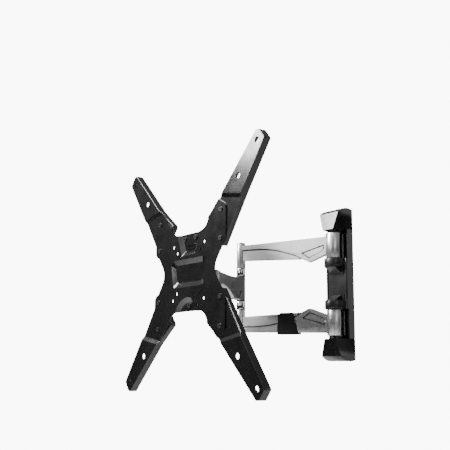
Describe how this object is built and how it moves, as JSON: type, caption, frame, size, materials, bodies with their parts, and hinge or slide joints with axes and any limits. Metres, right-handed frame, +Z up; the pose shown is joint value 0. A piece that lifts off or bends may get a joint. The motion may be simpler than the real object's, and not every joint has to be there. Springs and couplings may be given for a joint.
{
  "type": "full motion tv wall mount",
  "caption": "Full motion television wall mount: wall plate, twin arms, folding forearm and a tilting, levelling X-shaped plate.",
  "frame": {"origin": "centre of the wall plate's back face, which lies on the wall", "axes": "+Y into the wall, so the mount stands out towards -Y; +X to the right of someone who faces the wall; +Z up"},
  "size_m": [0.4392, 0.331, 0.4358],
  "materials": {
    "cast_black": "semi-gloss black powder coat on a die casting",
    "steel_black": "semi-gloss black powder coat on pressed steel",
    "cap_black": "glossy black moulded plastic",
    "plastic_black": "matt black moulded plastic",
    "arm_silver": "satin silver casting",
    "forearm_grey": "satin grey-silver casting",
    "chrome": "polished",
    "post_silver": "fine satin, turned",
    "steel_zinc": "bright zinc plated",
    "screw_black": "black oxide",
    "bush_white": "natural acetal"
  },
  "bodies": {
    "wall": {"wall_plate": "cast_black", "wall_cap_upper": "cap_black", "wall_cap_lower": "cap_black", "wall_pin_upper": "steel_zinc", "wall_pin_lower": "steel_zinc", "wall_pin_washers": "steel_zinc"},
    "arms": {"upper_arm": "arm_silver", "lower_arm": "arm_silver", "sleeve_upper": "chrome", "sleeve_lower": "chrome", "wall_bushes": "bush_white", "cable_clip": "plastic_black", "elbow_pin": "steel_zinc", "elbow_end_cap_upper": "post_silver", "elbow_end_cap_lower": "post_silver", "elbow_ring_upper": "chrome", "elbow_ring_lower": "chrome", "elbow_washers": "plastic_black"},
    "forearm": {"forearm": "forearm_grey", "elbow_bushes": "bush_white", "head_pin": "steel_zinc", "head_nut": "steel_zinc", "head_washer": "steel_zinc"},
    "head": {"head_knuckle": "forearm_grey", "head_bushes": "bush_white"},
    "tilt_head": {"tilt_bracket": "steel_black", "tilt_bolt": "steel_zinc", "tilt_washers": "bush_white", "tilt_knob": "plastic_black"},
    "tv_plate": {"centre_plate": "steel_black", "leg_upper_right": "steel_black", "leg_upper_left": "steel_black", "leg_lower_right": "steel_black", "leg_lower_left": "steel_black", "leg_screws": "screw_black", "leg_nuts": "steel_zinc", "level_stud": "steel_zinc", "level_screws": "screw_black", "level_nuts": "steel_zinc"}
  },
  "joints": [
    {"name": "wall_swivel", "type": "hinge", "parent": "wall", "child": "arms", "pos_m": [0, -0.0223, 0], "axis": [0, 0, 1], "range_deg": [-21.5, 158.5]},
    {"name": "elbow_swivel", "type": "hinge", "parent": "arms", "child": "forearm", "pos_m": [-0.20296, -0.10241, 0], "axis": [0, 0, -1], "range_deg": [-52.2, 107.8]},
    {"name": "head_swivel", "type": "hinge", "parent": "forearm", "child": "head", "pos_m": [-0.06473, -0.27124, 0], "axis": [0, 0, 1], "range_deg": [-40.7, 119.3]},
    {"name": "tilt", "type": "hinge", "parent": "head", "child": "tilt_head", "pos_m": [-0.06473, -0.29924, 0], "axis": [1, 0, 0], "range_deg": [-5, 15]},
    {"name": "level", "type": "hinge", "parent": "tilt_head", "child": "tv_plate", "pos_m": [-0.06473, -0.31524, 0.006], "axis": [0, -1, 0], "range_deg": [-3, 3]}
  ]
}
